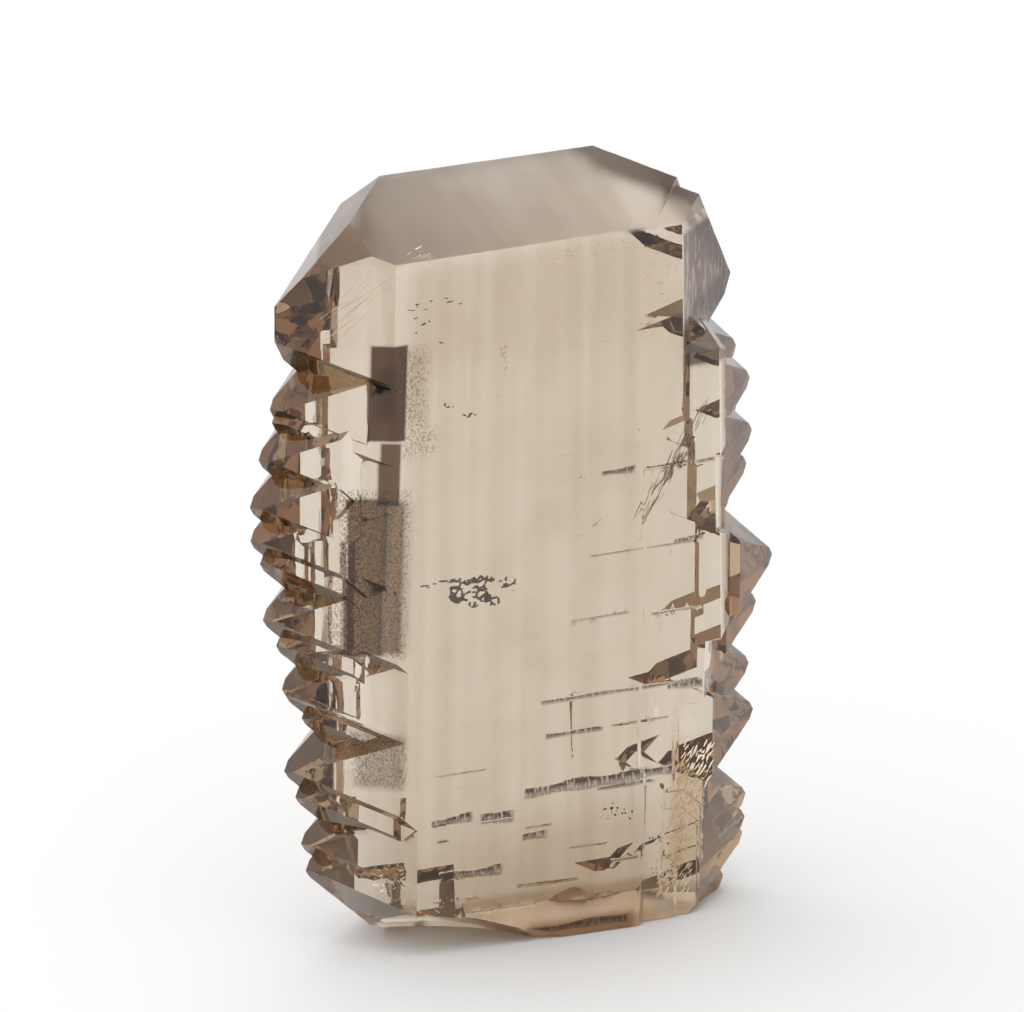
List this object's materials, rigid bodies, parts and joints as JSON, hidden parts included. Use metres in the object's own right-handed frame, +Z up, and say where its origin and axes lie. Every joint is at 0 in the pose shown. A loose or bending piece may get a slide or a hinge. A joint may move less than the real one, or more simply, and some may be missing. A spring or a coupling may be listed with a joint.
{
  "type": "smoky quartz gwindel",
  "caption": "Twisted slab of clear brown quartz crystals grown together side by side, with toothed edges, standing on its level broken base.",
  "frame": {"origin": "level with the broken base, under the middle of the whole's box", "axes": "+Z up the stack of crystals, -Y towards the big front face, +X towards the right-hand teeth"},
  "size_m": [0.0372, 0.025, 0.0558],
  "materials": {
    "smoky_quartz": "natural clear crystal faces, polished by growth, with some etched frosty patches"
  },
  "bodies": {
    "root": {"gwindel": "smoky_quartz"}
  },
  "joints": []
}
